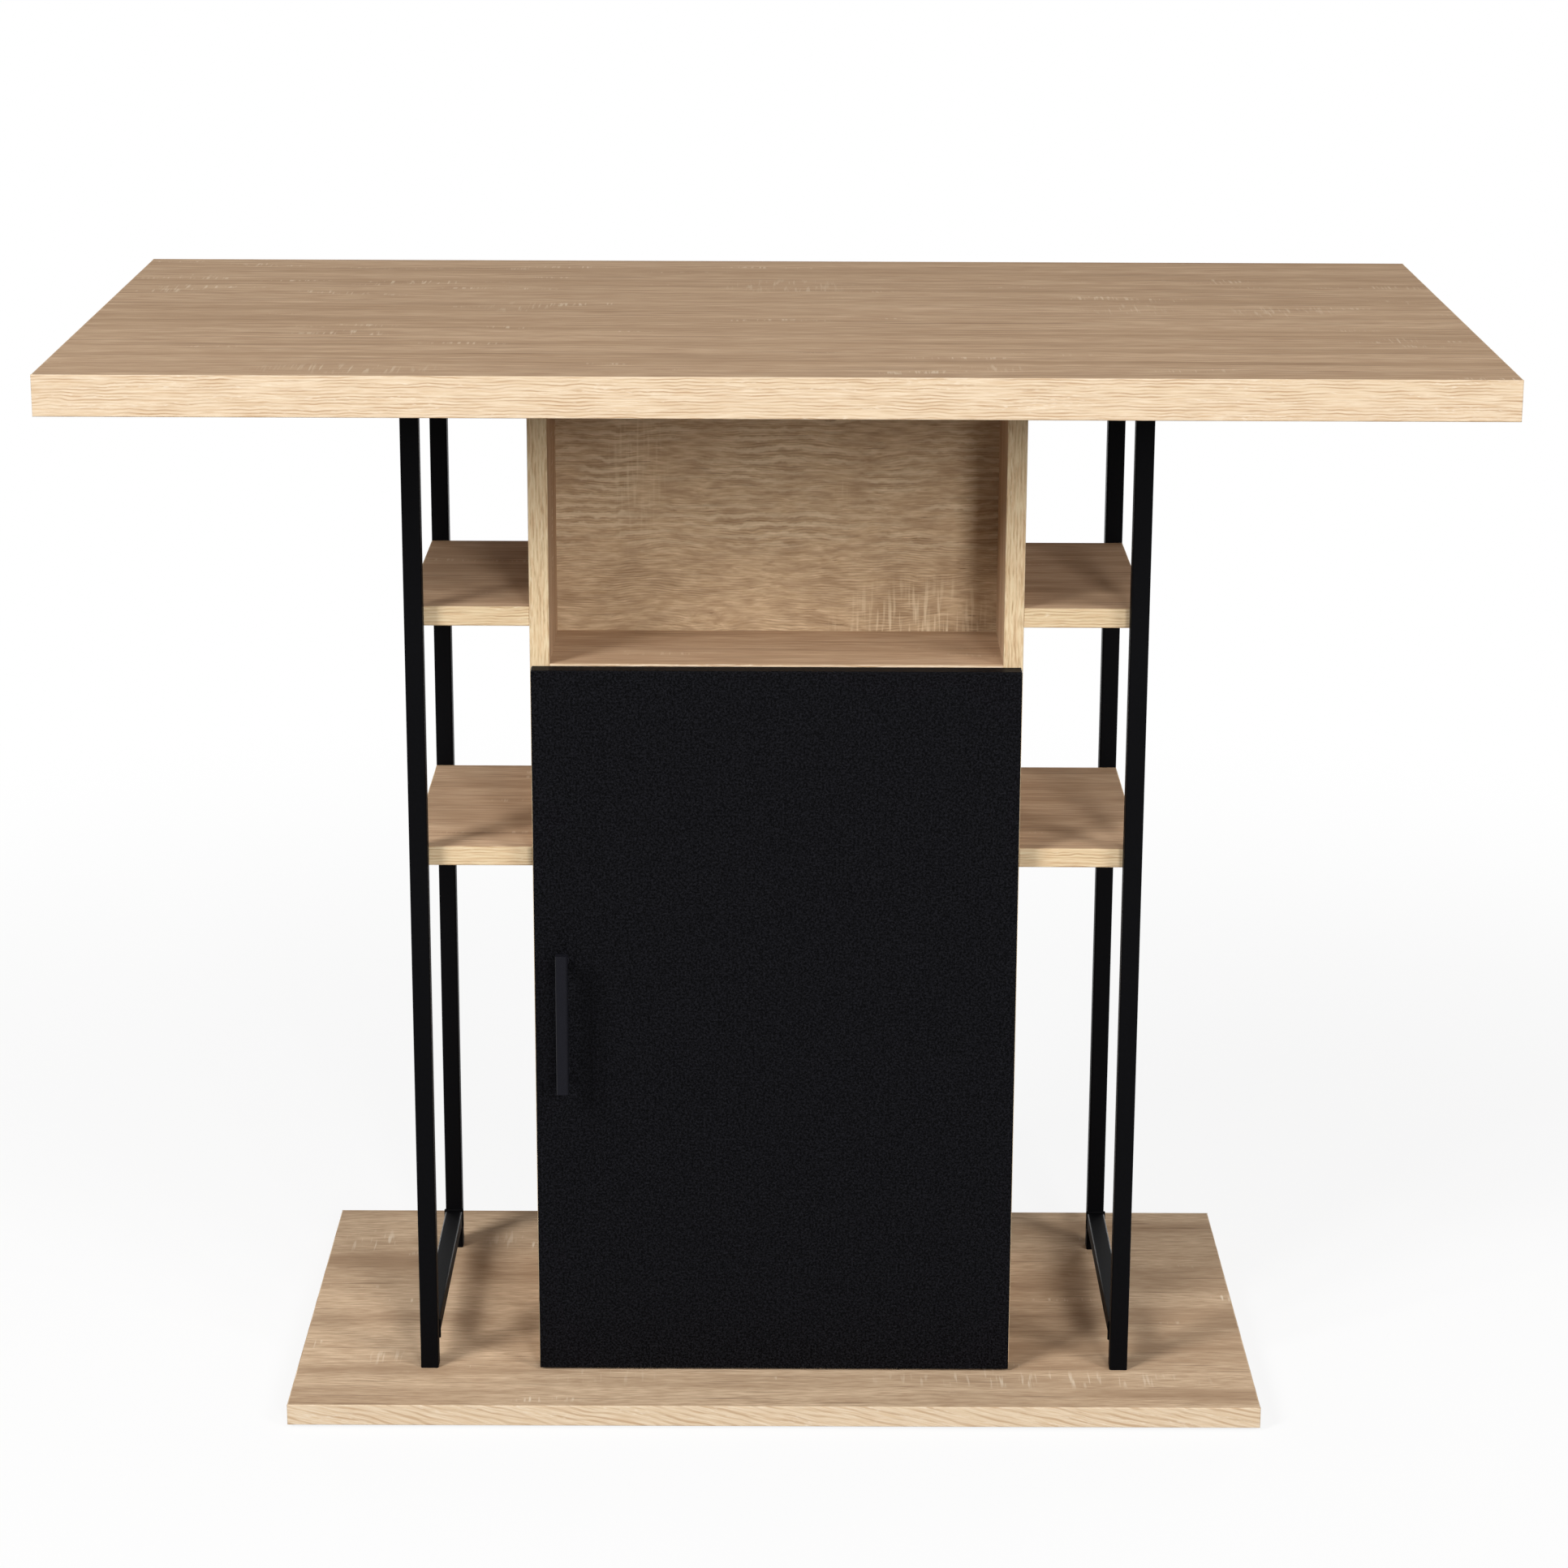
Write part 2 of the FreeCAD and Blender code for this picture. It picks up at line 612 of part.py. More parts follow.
# Door: a black board banded all round, bored for the hinge cups, with two soft bumpers behind it
door_core_edge = door_edge - band_thickness
door_core_rise = (door_bottom + band_thickness, door_top - band_thickness)
door_deep = (door_front, door_back)
door = block((-door_core_edge, door_core_edge), door_deep, door_core_rise)
nodes["door"] = without(door, hinge_door_rooms + handle_door_holes)
nodes["door_edge_bands"] = Part.makeCompound([
    block((-door_edge, door_edge), door_deep, (door_bottom, door_core_rise[0])),
    block((-door_edge, door_edge), door_deep, (door_core_rise[1], door_top)),
    block((-door_edge, -door_core_edge), door_deep, door_core_rise),
    block((door_core_edge, door_edge), door_deep, door_core_rise)])

bumper_x = -(cabinet_inner + cabinet_outer) / 2
nodes["door_bumpers"] = Part.makeCompound([
    rod(bumper_diameter, point(bumper_x, door_back, z), Y_AXIS, door_gap - bumper_play)
    for z in (door_bottom + bumper_inset, door_top - bumper_inset)])

os.makedirs("parts", exist_ok=True)
for node, shape in nodes.items():
    shape.exportStep("parts/" + node + ".step")
print(len(nodes), "nodes")
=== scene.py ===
import math

import bmesh
import bpy
from mathutils import Matrix, Vector


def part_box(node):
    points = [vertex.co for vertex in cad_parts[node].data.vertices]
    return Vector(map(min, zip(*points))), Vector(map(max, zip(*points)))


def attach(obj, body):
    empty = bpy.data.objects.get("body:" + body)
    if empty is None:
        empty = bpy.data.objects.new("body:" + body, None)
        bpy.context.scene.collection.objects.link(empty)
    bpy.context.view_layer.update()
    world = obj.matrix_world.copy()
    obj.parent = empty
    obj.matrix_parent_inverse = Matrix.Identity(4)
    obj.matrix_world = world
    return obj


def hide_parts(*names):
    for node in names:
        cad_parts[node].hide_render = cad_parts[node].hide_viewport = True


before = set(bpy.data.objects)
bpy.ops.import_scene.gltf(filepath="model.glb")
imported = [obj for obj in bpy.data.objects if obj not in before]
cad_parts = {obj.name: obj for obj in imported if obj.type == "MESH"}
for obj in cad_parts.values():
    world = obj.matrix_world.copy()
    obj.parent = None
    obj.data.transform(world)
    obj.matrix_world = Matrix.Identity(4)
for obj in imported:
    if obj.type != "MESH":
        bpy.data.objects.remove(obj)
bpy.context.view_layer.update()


# Base plate: chipboard faced with oak-print melamine, the slab that everything else stands on.
# Its four sawn edges are closed with printed edging, glued on and trimmed with a small radius.


def colour(hex_code):
    """The linear colour of an sRGB hex value, with full alpha."""
    channels = [int(hex_code[place:place + 2], 16) / 255 for place in (1, 3, 5)]
    linear = [level / 12.92 if level <= 0.04045 else ((level + 0.055) / 1.055) ** 2.4 for level in channels]
    return linear + [1.0]


def add_node(tree, kind, inputs=None, **settings):
    """Adds a node with its settings. An input gets a value, or a link where an output socket is given."""
    node = tree.nodes.new(kind)
    for name, value in settings.items():
        setattr(node, name, value)
    for place, value in (inputs or {}).items():
        if isinstance(value, bpy.types.NodeSocket):
            tree.links.new(value, node.inputs[place])
        else:
            node.inputs[place].default_value = value
    return node


# What all printed oak shares: the middle of a noise, the distance in m between the bands of a wave texture
# at a scale of 1, the resin's gloss, how far its dullness follows the fibres, and the embossing.
noise_middle = (0.5, 0.5, 0.5)
wave_period = 2 * math.pi / 20
resin_ior = 1.5
resin_gloss = 0.04
sheen_swing = 0.06
emboss_strength = 0.25
emboss_depth = 0.00012


def printed_oak(name, turn, tones, layers, sway, ripple, patches, roughness, curl=None):
    """Printed oak paper under resin. turn lays the pattern's X along the grain; tones are hex colours.
    layers gives, for each kind of mark, its length and width in mm, the noise detail, the two noise
    levels between which it fades in, and its strength. sway is how far, and over what length and width
    in mm, the grain wanders. ripple is the side to side axis of the fine dark lines, their spacing in mm,
    their waviness and their strength. patches are the middles, half sizes and strengths of places with
    saw marks, besides the strewn flecks. curl, where the print has it, is the spacing in mm, waviness and
    strength of pale wisps, and the two heights between which they fade in."""
    material = bpy.data.materials.new(name)
    material.use_nodes = True
    tree = material.node_tree
    place = add_node(tree, "ShaderNodeTexCoord")
    grain = add_node(tree, "ShaderNodeMapping", {"Vector": place.outputs["Object"], "Rotation": turn})
    reach, along, across = (size / 1000 for size in sway)
    sway_space = add_node(tree, "ShaderNodeVectorMath",
                          {0: grain.outputs[0], 1: (1 / along, 1 / across, 1 / across)},
                          operation="MULTIPLY")
    sway_noise = add_node(tree, "ShaderNodeTexNoise",
                          {"Vector": sway_space.outputs[0], "Scale": 1.0, "Detail": 2.0})
    sway_sides = add_node(tree, "ShaderNodeVectorMath",
                          {0: sway_noise.outputs["Color"], 1: noise_middle}, operation="SUBTRACT")
    swayed = add_node(tree, "ShaderNodeVectorMath",
                      {0: sway_sides.outputs[0], 1: (0.0, reach, reach), 2: grain.outputs[0]},
                      operation="MULTIPLY_ADD")
    marks = {}
    for layer, (length, width, detail, fades_in, full, strength) in layers.items():
        laid_on = grain if layer in ("flecks", "fleck_rows") else swayed
        stretched = add_node(tree, "ShaderNodeVectorMath",
                             {0: laid_on.outputs[0], 1: (1000 / length, 1000 / width, 1000 / width)},
                             operation="MULTIPLY")
        noise = add_node(tree, "ShaderNodeTexNoise",
                         {"Vector": stretched.outputs[0], "Scale": 1.0, "Detail": detail})
        mark = add_node(tree, "ShaderNodeMapRange",
                        {"Value": noise.outputs["Fac"], "From Min": fades_in, "From Max": full,
                         "To Max": strength})
        marks[layer] = mark.outputs[0]
    ripple_axis, spacing, waviness, ripple_strength = ripple
    rippled = add_node(tree, "ShaderNodeTexWave",
                       {"Vector": swayed.outputs[0], "Scale": wave_period * 1000 / spacing,
                        "Distortion": waviness, "Detail": 2.0, "Detail Scale": 0.25,
                        "Detail Roughness": 0.6}, bands_direction=ripple_axis)
    ripple_lines = add_node(tree, "ShaderNodeMapRange",
                            {"Value": rippled.outputs["Fac"], "From Min": 0.45, "From Max": 0.95,
                             "To Max": ripple_strength})
    broken_lines = add_node(tree, "ShaderNodeMath", {0: ripple_lines.outputs[0], 1: marks["breaks"]},
                            operation="MULTIPLY")
    coats = [(marks["fibres"], "pale"), (marks["bands"], "band"), (broken_lines.outputs[0], "line"),
             (marks["lines"], "line")]
    if curl:
        curl_spacing, curl_waviness, curl_strength, fades_in, full = curl
        curled = add_node(tree, "ShaderNodeTexWave",
                          {"Vector": swayed.outputs[0], "Scale": wave_period * 1000 / curl_spacing,
                           "Distortion": curl_waviness, "Detail": 3.0, "Detail Scale": 1.2,
                           "Detail Roughness": 0.65}, bands_direction=ripple_axis)
        crests = add_node(tree, "ShaderNodeMapRange",
                          {"Value": curled.outputs["Fac"], "From Min": 0.35, "From Max": 0.95,
                           "To Max": curl_strength})
        height = add_node(tree, "ShaderNodeSeparateXYZ", {0: place.outputs["Object"]})
        zone = add_node(tree, "ShaderNodeMapRange",
                        {"Value": height.outputs["Z"], "From Min": fades_in, "From Max": full})
        zone_breaks = add_node(tree, "ShaderNodeMath", {0: zone.outputs[0], 1: marks["breaks"]},
                               operation="MULTIPLY")
        wisps = add_node(tree, "ShaderNodeMath", {0: crests.outputs[0], 1: zone_breaks.outputs[0]},
                         operation="MULTIPLY")
        coats.append((wisps.outputs[0], "fleck"))
    spread = marks["fleck_rows"]
    for middle, half_size, strength in patches:
        offset = add_node(tree, "ShaderNodeVectorMath", {0: place.outputs["Object"], 1: middle},
                          operation="SUBTRACT")
        inside = add_node(tree, "ShaderNodeVectorMath", {0: offset.outputs[0], 1: half_size},
                          operation="DIVIDE")
        distance = add_node(tree, "ShaderNodeVectorMath", {0: inside.outputs[0]}, operation="LENGTH")
        patch = add_node(tree, "ShaderNodeMapRange",
                         {"Value": distance.outputs["Value"], "From Min": 1.0, "From Max": 0.3,
                          "To Max": strength})
        wider = add_node(tree, "ShaderNodeMath", {0: spread, 1: patch.outputs[0]}, operation="MAXIMUM")
        spread = wider.outputs[0]
    flecks = add_node(tree, "ShaderNodeMath", {0: marks["flecks"], 1: spread}, operation="MULTIPLY")
    coats.append((flecks.outputs[0], "fleck"))
    tone = colour(tones["brown"])
    for share, shade in coats:
        laid = add_node(tree, "ShaderNodeMix", {0: share, 6: tone, 7: colour(tones[shade])},
                        data_type="RGBA")
        tone = laid.outputs[2]
    sheen = add_node(tree, "ShaderNodeMapRange",
                     {"Value": marks["fibres"], "To Min": roughness + sheen_swing,
                      "To Max": roughness - sheen_swing})
    emboss = add_node(tree, "ShaderNodeBump",
                      {"Height": marks["fibres"], "Strength": emboss_strength, "Distance": emboss_depth})
    shader = tree.nodes["Principled BSDF"]
    shader.inputs["IOR"].default_value = resin_ior
    shader.inputs["Specular IOR Level"].default_value = resin_gloss
    tree.links.new(tone, shader.inputs["Base Color"])
    tree.links.new(sheen.outputs[0], shader.inputs["Roughness"])
    tree.links.new(emboss.outputs[0], shader.inputs["Normal"])
    return material


def dress(material, *node_names):
    """Gives nodes that keep their shape a finished material."""
    for node_name in node_names:
        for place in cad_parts[node_name].material_slots:
            place.material = material


def finish_piece(name, shape, material, slot_name, body, *stands_for):
    """Makes a piece of a bmesh, lets it move with a body and stand for nodes, and returns it."""
    mesh = bpy.data.meshes.new(name)
    shape.to_mesh(mesh)
    shape.free()
    mesh.materials.append(material)
    piece = bpy.data.objects.new(name, mesh)
    bpy.context.scene.collection.objects.link(piece)
    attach(piece, body)
    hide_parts(*stands_for)
    return piece


def corners_of(node):
    """The lowest and the highest corner of a node at rest."""
    return [Vector(corner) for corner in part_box(node)]


def add_block(shape, low, high):
    """Adds a block between two corners, to be rounded, and returns its vertices."""
    corners = bmesh.ops.create_cube(shape, size=1.0)["verts"]
    bmesh.ops.scale(shape, vec=high - low, verts=corners)
    bmesh.ops.translate(shape, vec=(low + high) / 2, verts=corners)
    return corners


def round_edges(shape, edges, radius, segments):
    """Rounds edges of a shape to a radius."""
    bmesh.ops.bevel(shape, geom=edges, offset=radius, segments=segments, profile=0.5, affect="EDGES",
                    material=-1)


# The axes, across the front, from front to back and up, and the turn that lays the grain along each.
ACROSS, DEEP, UP = 0, 1, 2
GRAIN_ALONG = {ACROSS: (0, 0, 0), DEEP: (0, 0, -math.pi / 2), UP: (0, math.pi / 2, 0)}
band_thickness = 0.001
band_radius = 0.0007
band_segments = 4


def add_edge_strip(shape, board, faces, side, run, past):
    """Adds a strip of edging to a board's edge and rounds the face that shows.
    faces is the axis that the edge looks along and side its sign. run is the axis that the strip is laid
    along, and past how far it runs beyond the board at both ends, over the ends of its neighbours."""
    low, high = corners_of(board)
    if side > 0:
        low[faces] = high[faces]
        high[faces] += band_thickness
        outside = high[faces]
    else:
        high[faces] = low[faces]
        low[faces] -= band_thickness
        outside = low[faces]
    low[run] -= past
    high[run] += past
    corners = add_block(shape, low, high)
    shown = {corner for corner in corners if abs(corner.co[faces] - outside) < band_thickness / 2}
    rim = [edge for edge in shape.edges if edge.verts[0] in shown and edge.verts[1] in shown]
    round_edges(shape, rim, band_radius, band_segments)


# Oak-print melamine, pressed with a fine embossed plate: grey-brown fibres along the board, a few long
# darker lines, and short pale flecks in rows across the grain. The pores, finer in reality, are left out.
board_roughness = 0.72
board_tones = {"brown": "#ad8d71", "pale": "#d3b798", "band": "#a38568", "line": "#755a45",
               "fleck": "#ead8be"}
board_layers = {
    "fibres": (34, 1.3, 4.0, 0.32, 0.68, 1.0),
    "bands": (800, 22, 2.0, 0.40, 0.68, 0.60),
    "lines": (260, 2.6, 3.0, 0.57, 0.72, 0.65),
    "breaks": (120, 12, 1.0, 0.45, 0.70, 1.0),
    "flecks": (2.6, 38, 1.0, 0.55, 0.68, 0.45),
    "fleck_rows": (120, 24, 1.0, 0.65, 0.74, 1.0),
}
board_sway = (9, 260, 60)
board_ripple = ("Y", 6.0, 6.0, 0.25)
saw_mark_reach = 0.010


def saw_marks_on(board, spots):
    """Places with saw marks on a board's top, for printed_oak. A spot is its middle and its half sizes,
    across and front to back, and its strength."""
    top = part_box(board)[1][UP]
    return [((x, y, top), (half_across, half_deep, saw_mark_reach), strength)
            for x, y, half_across, half_deep, strength in spots]


# The base is cut where the print has broad soft bands, with a softer and more wandering grain.
# Its tones are drawn lighter than the other boards', which is painted light: the same print, brightened to
# stand in for light that the lamps give the base too little of.
base_tones_painted_lighter = {"brown": "#b6997c", "pale": "#dec4a5", "band": "#a18468", "line": "#7e644e",
              "fleck": "#f4e6cf"}
base_layers = dict(board_layers)
base_layers["fibres"] = (17, 1.7, 5.0, 0.30, 0.70, 1.0)
base_layers["bands"] = (420, 34, 3.0, 0.44, 0.68, 0.80)
base_layers["lines"] = (100, 4.0, 3.0, 0.60, 0.74, 0.60)
base_layers["flecks"] = (3.2, 40, 1.0, 0.60, 0.71, 0.62)
base_sway = (16, 190, 70)
base_ripple = ("Y", 7.0, 7.0, 0.15)
base_sawn = saw_marks_on("base_plate", ((0.225, -0.160, 0.170, 0.020, 0.7),
                                        (-0.143, -0.155, 0.050, 0.018, 0.4),
                                        (-0.332, -0.118, 0.035, 0.018, 0.5),
                                        (-0.362, 0.139, 0.050, 0.030, 0.8),
                                        (-0.236, 0.143, 0.035, 0.028, 0.5)))
oak_base = printed_oak("melamine_oak_embossed_base", GRAIN_ALONG[ACROSS], base_tones_painted_lighter, base_layers,
                       base_sway, base_ripple, base_sawn, board_roughness)
dress(oak_base, "base_plate")

# Oak-print edging, extruded and printed: cream, with fine orange-brown lines that wave along the strip.
edging_roughness = 0.66
band_tones = {"brown": "#cab091", "pale": "#d9c6ac", "band": "#d0ba9c", "line": "#a17e5b",
              "fleck": "#e0d2be"}
band_layers = {
    "fibres": (26, 1.0, 4.0, 0.32, 0.64, 1.0),
    "bands": (300, 9, 2.0, 0.45, 0.70, 0.40),
    "lines": (44, 1.2, 2.0, 0.60, 0.74, 0.42),
    "breaks": (45, 5, 2.0, 0.36, 0.60, 1.0),
    "flecks": (6, 1.2, 1.0, 0.55, 0.70, 0.50),
    "fleck_rows": (80, 5, 1.0, 0.50, 0.62, 1.0),
}
band_sway = (3.2, 30, 9)
band_ripple = ("Z", 2.5, 4.5, 0.66)


def wavy_edging(name, tones):
    """Edging for strips laid across and for strips laid front to back, with the grain along the strip."""
    return {run: printed_oak(name + word, GRAIN_ALONG[run], tones, band_layers, band_sway, band_ripple, (),
                             edging_roughness)
            for run, word in ((ACROSS, "_across"), (DEEP, "_deep"))}


edging = wavy_edging("edging_oak_printed", band_tones)

# The base's front and rear edging is cut from a stretch of the print whose grain slants.
slant = math.radians(-13)
slanted_ripple = ("Z", 5.0, 8.0, 0.54)
edging_slanted = printed_oak("edging_oak_printed_slanted", (0, slant, 0), band_tones, band_layers, band_sway,
                             slanted_ripple, (), edging_roughness)


def finish_slab_edging(slab, board, long_edging):
    """Closes a slab's four edges. The strips on its long edges run over the ends of the other two."""
    long_strips = bmesh.new()
    short_strips = bmesh.new()
    for side in (-1, 1):
        add_edge_strip(long_strips, board, DEEP, side, ACROSS, band_thickness)
        add_edge_strip(short_strips, board, ACROSS, side, DEEP, 0.0)
    bands = slab + "_edge_bands"
    finish_piece(slab + "_long_edging", long_strips, long_edging, "oak_band", "island", bands)
    finish_piece(slab + "_short_edging", short_strips, edging[DEEP], "oak_band", "island", bands)


finish_slab_edging("base", "base_plate", edging_slanted)


# Glides: six dark moulded feet nailed under the base plate, which hold it just off the floor.
# Through the plate, bolts reach up into the legs and screws into the cabinet's sides, from below.


def speckled(name, speck_mm, detail, dark, light, smooth, rough, relief, relief_depth, constants,
             crispness=0.5, levels=(0.0, 1.0)):
    """A material with fine specks in two tones, whose dullness and relief follow the same specks.
    smooth and rough are the ends of its roughness, and constants go straight to the shader. crispness is
    the noise's own roughness, and levels are the two noise levels between which dark turns to light."""
    material = bpy.data.materials.new(name)
    material.use_nodes = True
    tree = material.node_tree
    place = add_node(tree, "ShaderNodeTexCoord")
    specks = add_node(tree, "ShaderNodeTexNoise",
                      {"Vector": place.outputs["Object"], "Scale": 1000 / speck_mm, "Detail": detail,
                       "Roughness": crispness})
    # Where the light tone stands for sparkle, as on the black board, these paler specks are painted glints.
    specks_and_painted_glints = add_node(tree, "ShaderNodeMapRange",
                      {"Value": specks.outputs["Fac"], "From Min": levels[0], "From Max": levels[1]})
    tone = add_node(tree, "ShaderNodeMix",
                    {0: specks_and_painted_glints.outputs[0], 6: colour(dark), 7: colour(light)}, data_type="RGBA")
    dulling = add_node(tree, "ShaderNodeMapRange",
                       {"Value": specks.outputs["Fac"], "To Min": smooth, "To Max": rough})
    bump = add_node(tree, "ShaderNodeBump",
                    {"Height": specks.outputs["Fac"], "Strength": relief, "Distance": relief_depth})
    shader = tree.nodes["Principled BSDF"]
    for socket, value in constants.items():
        shader.inputs[socket].default_value = value
    tree.links.new(tone.outputs[2], shader.inputs["Base Color"])
    tree.links.new(dulling.outputs[0], shader.inputs["Roughness"])
    tree.links.new(bump.outputs[0], shader.inputs["Normal"])
    return material


# Moulded plastic, spark-eroded mould: dark and even, with a fine grit that dulls it.
glide_plastic = speckled("polyethylene_moulded_dark", speck_mm=0.8, detail=2.0, dark="#2a2624",
                         light="#3b3633", smooth=0.55, rough=0.55, relief=0.3, relief_depth=0.0001,
                         constants={"IOR": 1.51})
dress(glide_plastic, "base_glides")

# Nickel-plated steel, barrel-plated: bright grey, with a faint cloudiness from tumbling.
nickel_plate = speckled("steel_nickel_plated", speck_mm=4.0, detail=4.0, dark="#b2b0aa",
                        light="#d0cec8", smooth=0.30, rough=0.46, relief=0.1, relief_depth=0.0001,
                        constants={"Metallic": 1.0})
dress(nickel_plate, "base_bolts", "cabinet_screws")


# Side frames: on each side two legs and two rails of square steel tube, cut square and welded.
# The legs stand on foot plates bolted through the base; the lower rail is raised off the plate.

# Powder-coated steel, baked: matt black with a faint orange-peel ripple, drawn coarser than the real one.
powder_coat = speckled("steel_powder_coated_black", speck_mm=1.6, detail=3.0, dark="#060607",
                       light="#0a0a0c", smooth=0.40, rough=0.55, relief=0.12, relief_depth=0.0002,
                       constants={"Specular IOR Level": 0.03})


def edges_at(corners):
    """All edges that meet at some vertices, each once."""
    return list(dict.fromkeys(edge for corner in corners for edge in corner.link_edges))


def cut_flat(shape, place, outward):
    """Cuts a shape off flat at a place, closes the cuts and turns every face outwards."""
    whole = shape.verts[:] + shape.edges[:] + shape.faces[:]
    bmesh.ops.bisect_plane(shape, geom=whole, plane_co=place, plane_no=outward, clear_outer=True)
    bmesh.ops.holes_fill(shape, edges=[edge for edge in shape.edges if edge.is_boundary])
    bmesh.ops.recalc_face_normals(shape, faces=shape.faces[:])


# A drawn tube has its four long edges rounded, and its sawn ends sharp.
tube_radius = 0.0016
tube_segments = 5
for hand in ("left", "right"):
    for member, run in (("front_leg", UP), ("rear_leg", UP), ("bottom_rail", DEEP), ("top_rail", DEEP)):
        node = hand + "_" + member
        shape = bmesh.new()
        tube_edges = edges_at(add_block(shape, *corners_of(node)))
        long_edges = [edge for edge in tube_edges
                      if abs((edge.verts[0].co - edge.verts[1].co)[run]) > tube_radius * 2]
        round_edges(shape, long_edges, tube_radius, tube_segments)
        finish_piece(node + "_tube", shape, powder_coat, "black_steel", "island", node)
dress(powder_coat, "leg_foot_plates", "shelf_tabs")

# Each rail end has a weld bead round it, on the face of the leg. The top rails' beads are ground off flat.
weld_reach = 0.0012
weld_width = 0.0022
weld_radius = weld_reach * 0.9
weld_segments = 3
shape = bmesh.new()
for rail in ("left_bottom_rail", "left_top_rail", "right_bottom_rail", "right_top_rail"):
    low, high = corners_of(rail)
    for start in (low.y, high.y - weld_width):
        bead_low = Vector((low.x - weld_reach, start, low.z - weld_reach))
        bead_high = Vector((high.x + weld_reach, start + weld_width, high.z + weld_reach))
        bead_edges = edges_at(add_block(shape, bead_low, bead_high))
        round_edges(shape, bead_edges, weld_radius, weld_segments)
cut_flat(shape, (0, 0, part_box("left_top_rail")[1][UP]), (0, 0, 1))
finish_piece("frame_welds", shape, powder_coat, "black_steel", "island")


# Cabinet: two full-height sides, a top under the worktop, the niche floor and the niche partition.
# The panels are doweled and screwed together, and the sides' front and rear edges carry edging.
oak_upright = printed_oak("melamine_oak_embossed_upright", GRAIN_ALONG[UP], board_tones, board_layers,
                          board_sway, board_ripple, (), board_roughness)
oak_across = printed_oak("melamine_oak_embossed_across", GRAIN_ALONG[ACROSS], board_tones, board_layers,
                         board_sway, board_ripple, (), board_roughness)
dress(oak_upright, "cabinet_side_left", "cabinet_side_right")
dress(oak_across, "cabinet_top", "niche_floor")

# The partition is cut where the print shows a curly figure: fine waving lines below, pale curls above,
# and pale saw marks in three places near its edges.
figure_tones = {"brown": "#ad9170", "pale": "#d7bd9c", "band": "#94775b", "line": "#5d4431",
                "fleck": "#e8d4b4"}
figure_layers = {
    "fibres": (15, 1.2, 4.0, 0.28, 0.72, 1.0),
    "bands": (28, 7, 3.0, 0.42, 0.68, 0.50),
    "lines": (90, 1.6, 2.0, 0.64, 0.76, 0.55),
    "breaks": (46, 20, 2.0, 0.38, 0.62, 1.0),
    "flecks": (2.6, 34, 1.0, 0.52, 0.70, 0.65),
    "fleck_rows": (40, 60, 1.0, 0.72, 0.84, 0.5),
}
figure_sway = (13, 80, 36)
figure_ripple = ("Z", 2.1, 6.0, 0.32)
figure_curl = (8.0, 4.5, 0.50, 0.685, 0.730)
partition_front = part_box("niche_partition")[0][DEEP]
figure_mark_reach = 0.050
figure_sawn = (((-0.118, partition_front, 0.780), (0.032, figure_mark_reach, 0.090), 0.4),
               ((0.120, partition_front, 0.634), (0.085, figure_mark_reach, 0.052), 1.0),
               ((0.045, partition_front, 0.846), (0.030, figure_mark_reach, 0.018), 0.5))
oak_figured = printed_oak("melamine_oak_curly_figure", GRAIN_ALONG[ACROSS], figure_tones, figure_layers,
                          figure_sway, figure_ripple, figure_sawn, board_roughness, figure_curl)
dress(oak_figured, "niche_partition")

# The sides' edging shows the print's short upright dashes, as sawn end pores do.
side_tones = {"brown": "#caad89", "pale": "#d8c4a1", "band": "#cfb893", "line": "#9f7c56",
              "fleck": "#dfcfb3"}
dash_layers = {
    "fibres": (14, 1.5, 3.0, 0.34, 0.62, 1.0),
    "bands": (120, 7, 2.0, 0.45, 0.70, 0.40),
    "lines": (16, 1.7, 2.0, 0.56, 0.70, 0.50),
    "breaks": (14, 4, 2.0, 0.40, 0.62, 1.0),
    "flecks": (6, 1.2, 1.0, 0.55, 0.70, 0.40),
    "fleck_rows": (40, 5, 1.0, 0.50, 0.62, 1.0),
}
dash_sway = (1.5, 22, 8)
dash_ripple = ("Z", 2.7, 4.0, 0.50)
edging_dashed = printed_oak("edging_oak_printed_upright", GRAIN_ALONG[UP], side_tones, dash_layers,
                            dash_sway, dash_ripple, (), edging_roughness)
shape = bmesh.new()
for board in ("cabinet_side_left", "cabinet_side_right"):
    for side in (-1, 1):
        add_edge_strip(shape, board, DEEP, side, UP, 0.0)
finish_piece("cabinet_side_edging", shape, edging_dashed, "oak_band", "island", "cabinet_side_bands")
shape = bmesh.new()
for side in (-1, 1):
    add_edge_strip(shape, "niche_floor", DEEP, side, ACROSS, 0.0)
finish_piece("niche_floor_edging", shape, edging[ACROSS], "oak_band", "island", "niche_floor_bands")


# Cupboard: a loose shelf on four plated pins, behind the door and in front of a rear panel.
# The shelf's front edge carries edging; pins and the cabinet's dowels are pressed into blind holes.
dress(oak_across, "inner_shelf")
shape = bmesh.new()
add_edge_strip(shape, "inner_shelf", DEEP, -1, ACROSS, 0.0)
finish_piece("inner_shelf_edging", shape, edging[ACROSS], "oak_band", "island", "inner_shelf_band")
dress(nickel_plate, "shelf_pins")

# Beech, turned and fluted: pale pinkish wood with short brown flecks.
beech = speckled("beech_turned_raw", speck_mm=1.2, detail=2.0, dark="#c79f70", light="#dcbb91",
                 smooth=0.7, rough=0.7, relief=0.2, relief_depth=0.0001, constants={"IOR": 1.5})
dress(beech, "dowels")


